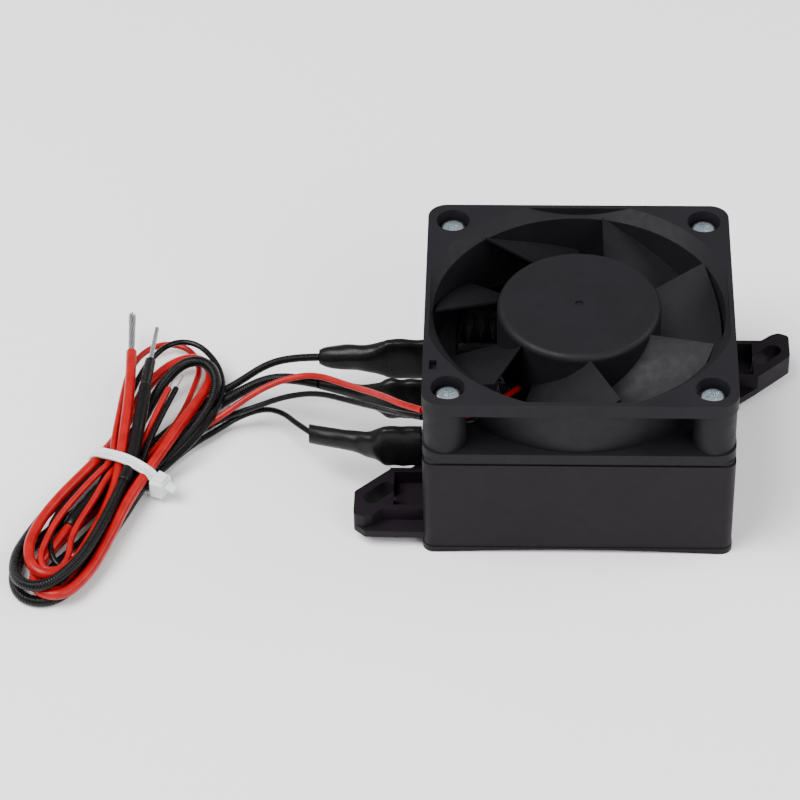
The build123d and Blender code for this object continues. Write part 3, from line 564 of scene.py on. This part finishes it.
def add_leads(materials):
    red = materials["red_insulation"]
    black = materials["black_insulation"]
    braid = materials["black_glass_braid"]
    tinned = materials["tinned_copper"]
    routes = {
        "supply_red": SUPPLY_RED_TURNS + SUPPLY_RED_END,
        "supply_black": MIDDLE_LEAD + SUPPLY_BLACK_TURNS + SUPPLY_BLACK_END,
        "fan_red": FAN_RED_LEAD + FAN_RED_TURNS + FAN_RED_END,
        "fan_black": FAN_BLACK_LEAD + FAN_BLACK_TURNS + FAN_BLACK_END,
    }
    for name, length, count, strand_r, bundle_r, twist, splay, seed in (
        ("supply_red", 13.2, 14, 0.17, 0.62, 2.6, 0.25, 3),
        ("supply_black", 11.0, 14, 0.13, 0.40, 5.0, 0.0, 5),
        ("fan_red", 1.6, 5, 0.10, 0.22, 4.0, 0.1, 7),
        ("fan_black", 3.8, 5, 0.08, 0.15, 4.0, 0.2, 9),
    ):
        points = routes[name]
        tip = Vector(points[-1])
        strand_bundle(f"{name}_strands", tip, end_direction(points), length, count, strand_r,
                                      bundle_r, twist, splay, tinned, f"strands_{name}", seed)

    shrunk = materials["shrink_sleeve"]
    splice_path = resample(points_along(SPLICE), TUBE_STEP * MM)
    splice = shrunk_tube("lead_splice", splice_path, SPLICE_R * MM, shrunk, 0.10, 21)
    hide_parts("lead_hank")
    end_path = stretch_between(routes["supply_black"], -34, -7.5)
    black_end_sleeve = shrunk_tube("supply_black_sleeve", end_path, END_SLEEVE_R * MM, shrunk, 0.03, 22,
                                   ends=0.9)

    add_ribbed_cord("cord_heater_rear", REAR_LEAD + REAR_TO_SPLICE, REAR_D, braid,
                    ["lead_heater_rear"])
    add_cord("cord_heater_front", FRONT_LEAD + FRONT_TO_SPLICE, FRONT_D, black,
             ["lead_heater_front"])
    add_cord("cord_supply_red", routes["supply_red"], SUPPLY_D, red,
             ["end_supply_red"])
    add_ribbed_cord("cord_supply_black", routes["supply_black"], SUPPLY_D, braid,
                    ["lead_heater_middle", "end_supply_black"])
    add_cord("cord_fan_red", routes["fan_red"], FAN_RED_D, red,
             ["lead_fan_red", "end_fan_red"])
    add_cord("cord_fan_black", routes["fan_black"], FAN_BLACK_D, black,
             ["lead_fan_black", "end_fan_black"])



# ---- shrink sleeves over the terminals ---------------------------------------------------------------------
# Each section: centre, half width along Y and half height along Z. Flat over the tab, round over the lead.
SLEEVE_SECTIONS = {
    "sleeve_rear": [
        ((-30.6, 12.95, 12.2), 1.3, 4.9), ((-34.2, 12.95, 12.2), 1.3, 4.85),
        ((-37.8, 12.95, 12.2), 1.35, 4.85),
        ((-39.4, 13.0, 12.2), 1.7, 4.1), ((-41.2, 13.1, 12.2), 2.0, 3.3), ((-43.6, 13.3, 12.1), 2.2, 2.9),
        ((-46.6, 13.7, 11.9), 2.3, 2.75), ((-49.6, 14.0, 11.6), 2.2, 2.45), ((-51.3, 14.2, 11.5), 1.8, 2.0),
        ((-52.2, 14.2, 11.5), 1.35, 1.5),
    ],
    "sleeve_middle": [
        ((-30.6, 0.9, 12.2), 1.3, 4.9), ((-34.2, 0.9, 12.2), 1.3, 4.85), ((-37.8, 0.9, 12.2), 1.3, 4.8),
        ((-39.6, 1.3, 12.2), 1.35, 3.8), ((-41.6, 2.0, 12.15), 1.4, 2.6), ((-44.0, 3.0, 12.0), 1.4, 1.8),
        ((-48.0, 4.7, 11.75), 1.35, 1.4), ((-51.8, 6.3, 11.4), 1.25, 1.25),
    ],
    "sleeve_front": [
        ((-30.6, -12.95, 12.2), 1.3, 4.9), ((-34.2, -12.95, 12.2), 1.3, 4.85),
        ((-37.6, -12.95, 12.2), 1.3, 4.8),
        ((-39.0, -12.8, 12.2), 1.6, 4.1), ((-41.0, -12.3, 12.0), 1.8, 3.0), ((-44.0, -11.2, 11.7), 1.9, 2.3),
        ((-48.0, -9.5, 11.0), 1.9, 2.05), ((-51.0, -8.2, 10.4), 1.9, 2.0), ((-53.2, -7.1, 9.9), 1.85, 2.0),
    ],
}
SLEEVE_OPEN_END = ((1.0, 0.0), (0.86, 0.0), (0.72, 0.9))     # rim, lip and inside: share of the size, depth
SLEEVE_WAVES = 8
SLEEVE_RIPPLE = 0.035   # depth of the wrinkles, as a share of the size, and the least of it
SLEEVE_LEAST_RIPPLE = 0.012
ROUNDING_START = 0.2    # where along the sleeve its section starts to turn round, and over how much of it
ROUNDING_SPAN = 0.4
SLEEVE_RINGS = 72
SLEEVE_SIDES = 36
FLAT_POWER = 3.4        # superellipse power over the tab
ROUND_POWER = 2.0


def smooth_between(values, t):
    """Catmull-Rom value of a list at t from 0 to 1."""
    spans = len(values) - 1
    place = min(t * spans, spans - 1e-9)
    i = int(place)
    f = place - i
    before, a, b, after = (values[max(0, min(spans, k))] for k in (i - 1, i, i + 1, i + 2))
    return 0.5 * (2 * a + (b - before) * f + (2 * before - 5 * a + 4 * b - after) * f * f
                  + (3 * a - before - 3 * b + after) * f ** 3)


def signed_power(value, power):
    return math.copysign(abs(value) ** power, value)


def terminal_sleeve(node, sections, material, seed):
    """Shrunk tube over a tab: wrinkled where it narrows, with an open rim round the lead."""
    rng = random.Random(seed)
    waves = [(rng.uniform(0.5, 1.9), rng.uniform(0, math.tau), rng.randint(1, 4))
             for _ in range(SLEEVE_WAVES)]
    centres = [Vector(c) for c, _, _ in sections]
    wide = [w for _, w, _ in sections]
    tall = [h for _, _, h in sections]
    bm = bmesh.new()
    rings = []
    for k in range(SLEEVE_RINGS + len(SLEEVE_OPEN_END)):
        t = min(1.0, k / SLEEVE_RINGS)
        lip, depth = SLEEVE_OPEN_END[max(0, k - SLEEVE_RINGS)]
        centre = smooth_between(centres, t)
        half_w, half_h = smooth_between(wide, t), smooth_between(tall, t)
        roundness = min(1.0, max(0.0, (t - ROUNDING_START) / ROUNDING_SPAN))
        power = 2 / (FLAT_POWER + (ROUND_POWER - FLAT_POWER) * roundness)
        ripple_size = SLEEVE_RIPPLE * math.sin(math.pi * min(1.0, 0.15 + t)) + SLEEVE_LEAST_RIPPLE
        ring = []
        for s in range(SLEEVE_SIDES):
            angle = math.tau * s / SLEEVE_SIDES
            ripple = sum(math.sin(-centre.x * rate + phase + turns * angle) for rate, phase, turns in waves)
            ripple /= SLEEVE_WAVES
            swell = lip * (1 + ripple_size * ripple * 2)
            y = signed_power(math.cos(angle), power) * half_w * swell
            z = signed_power(math.sin(angle), power) * half_h * swell
            ring.append(bm.verts.new(Vector((centre.x + depth, centre.y + y, centre.z + z)) * MM))
        rings.append(ring)
    for low, high in zip(rings, rings[1:]):
        for s in range(SLEEVE_SIDES):
            n = (s + 1) % SLEEVE_SIDES
            bm.faces.new((low[s], high[s], high[n], low[n])).smooth = True
    bm.faces.new(rings[0])
    bm.faces.new(rings[-1][::-1])
    bmesh.ops.recalc_face_normals(bm, faces=bm.faces)
    mesh = bpy.data.meshes.new(node + "_shrunk")
    bm.to_mesh(mesh)
    bm.free()
    piece = add_piece(node + "_shrunk", mesh, material)
    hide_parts(node)


# ---- cable tie ---------------------------------------------------------------------------------------------
TIE_AT = Vector((-90.4, -11.4, 0))
TIE_ALONG_DEG = 63.0
TIE_LOOP = [
    (7.45, 3.4), (7.1, 5.3), (4.4, 6.4), (0.6, 7.05), (-3.2, 6.5), (-6.4, 5.9), (-7.4, 4.2), (-7.0, 1.7),
    (-4.4, 0.55), (0.0, 0.5), (4.6, 0.55), (7.0, 1.5),
]
TIE_PROFILE = [
    (-1.15, -0.36), (1.15, -0.36), (1.25, 0.0), (1.15, 0.40), (0.85, 0.40), (0.75, 0.28), (-0.75, 0.28),
    (-0.85, 0.40), (-1.15, 0.40), (-1.25, 0.0),
]
TIE_MIDDLE_Z = 3.6
HEAD_AT = (8.75, 3.2)
HEAD_SIZE = (2.9, 4.2, 4.0)     # across the hank, along it, up


def tie_axes():
    turn = math.radians(TIE_ALONG_DEG)
    side = Vector((math.sin(turn), -math.cos(turn), 0))
    run = Vector((math.cos(turn), math.sin(turn), 0))
    return side, run, Vector((0, 0, 1))


def tie_point(across, along, height):
    side, run, up = tie_axes()
    return (TIE_AT + side * across + run * along + up * height) * MM


def tie_band(bm):
    """Closed band round the hank, with raised edges."""
    curve = spline_curve("tie_probe", [(s, 0, z) for s, z in TIE_LOOP])
    curve.splines[0].use_endpoint_u = False
    curve.splines[0].use_cyclic_u = True
    probe = bpy.data.objects.new("tie_probe", curve)
    mesh = bpy.data.meshes.new_from_object(probe)
    loop = [(v.co.x / MM, v.co.z / MM) for v in mesh.vertices]
    bpy.data.objects.remove(probe)
    bpy.data.curves.remove(curve)
    bpy.data.meshes.remove(mesh)
    rings = []
    for i, (s, z) in enumerate(loop):
        ahead, behind = loop[(i + 1) % len(loop)], loop[i - 1]
        ds, dz = ahead[0] - behind[0], ahead[1] - behind[1]
        size = math.hypot(ds, dz)
        out = (-dz / size, ds / size) if s * -dz + (z - TIE_MIDDLE_Z) * ds > 0 else (dz / size, -ds / size)
        rim = [tie_point(s + out[0] * rise, along, z + out[1] * rise) for along, rise in TIE_PROFILE]
        rings.append([bm.verts.new(at) for at in rim])
    count = len(TIE_PROFILE)
    for low, high in zip(rings, rings[1:] + rings[:1]):
        for a in range(count):
            bm.faces.new((low[a], low[(a + 1) % count], high[(a + 1) % count], high[a])).smooth = True


def tie_block(bm, centre, size, bevel, tilt=0.0, taper=1.0):
    """Rounded block in the tie's axes; taper narrows its far end."""
    made = bmesh.ops.create_cube(bm, size=1.0)["verts"]
    for v in made:
        far = taper if v.co.x > 0 else 1.0
        across = centre[0] + v.co.x * size[0]
        along = centre[1] + v.co.y * size[1] * far
        height = centre[2] + v.co.z * size[2] * far - tilt * (across - centre[0])
        v.co = tie_point(across, along, height)
    edges = {e for v in made for e in v.link_edges}
    bmesh.ops.bevel(bm, geom=list(edges), offset=bevel * MM, segments=3, affect="EDGES", profile=0.6)


def add_cable_tie(material):
    bm = bmesh.new()
    tie_band(bm)
    across, height = HEAD_AT
    tie_block(bm, (across, 0, height), HEAD_SIZE, 0.45, taper=0.9)
    tie_block(bm, (across + 0.35, 0, height + 2.0), (1.6, 2.4, 0.8), 0.25)
    tie_block(bm, (across + 2.3, 0, height + 0.5), (2.4, 2.2, 0.8), 0.18, tilt=0.25, taper=0.85)
    bmesh.ops.recalc_face_normals(bm, faces=bm.faces)
    mesh = bpy.data.meshes.new("hank_tie")
    bm.to_mesh(mesh)
    bm.free()
    piece = add_piece("hank_tie", mesh, material)
    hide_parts("cable_tie")


# ---- stage ----------------------------------------------------------------------------------------------
FLOOR_HALF = 3.0
WORLD_STRENGTH = 0.55
LIGHTS = (              # name, place, size in metres, watts
    ("key", (-0.5, -0.2, 0.9), 0.8, 20.0),
    ("fill", (0.6, -0.7, 0.7), 0.8, 8.0),
    ("back", (0.95, 0.25, 0.7), 0.6, 6.0),
)


def add_floor():
    corners = [(x * FLOOR_HALF, y * FLOOR_HALF, 0) for x, y in ((-1, -1), (1, -1), (1, 1), (-1, 1))]
    mesh = bpy.data.meshes.new("floor")
    mesh.from_pydata(corners, [], [(0, 1, 2, 3)])
    floor = bpy.data.objects.new("floor", mesh)
    bpy.context.scene.collection.objects.link(floor)
    m = Nodes("floor")
    m.ramp(m.noise(0.002), (0.90, 0.90, 0.90), (0.92, 0.92, 0.92))
    m.set(Roughness=0.7)
    mesh.materials.append(m.material)


def add_light(name, at, size, power):
    data = bpy.data.lights.new(name, "AREA")
    data.shape = "DISK"
    data.size = size
    data.energy = power
    light = bpy.data.objects.new(name, data)
    light.location = at
    light.rotation_euler = (-Vector(at)).to_track_quat("-Z", "Y").to_euler()
    bpy.context.scene.collection.objects.link(light)


def add_lighting():
    world = bpy.data.worlds.new("studio")
    world.use_nodes = True
    background = world.node_tree.nodes["Background"]
    background.inputs["Color"].default_value = (1, 1, 1, 1)
    background.inputs["Strength"].default_value = WORLD_STRENGTH
    bpy.context.scene.world = world
    for light in LIGHTS:
        add_light(*light)


def main():
    materials = make_materials()
    add_camera()
    add_floor()
    add_lighting()
    paint_frame(materials)
    add_leads(materials)
    for seed, (node, sections) in enumerate(SLEEVE_SECTIONS.items()):
        terminal_sleeve(node, sections, materials["shrink_sleeve"], seed + 31)
    add_cable_tie(materials["tie_nylon"])


main()
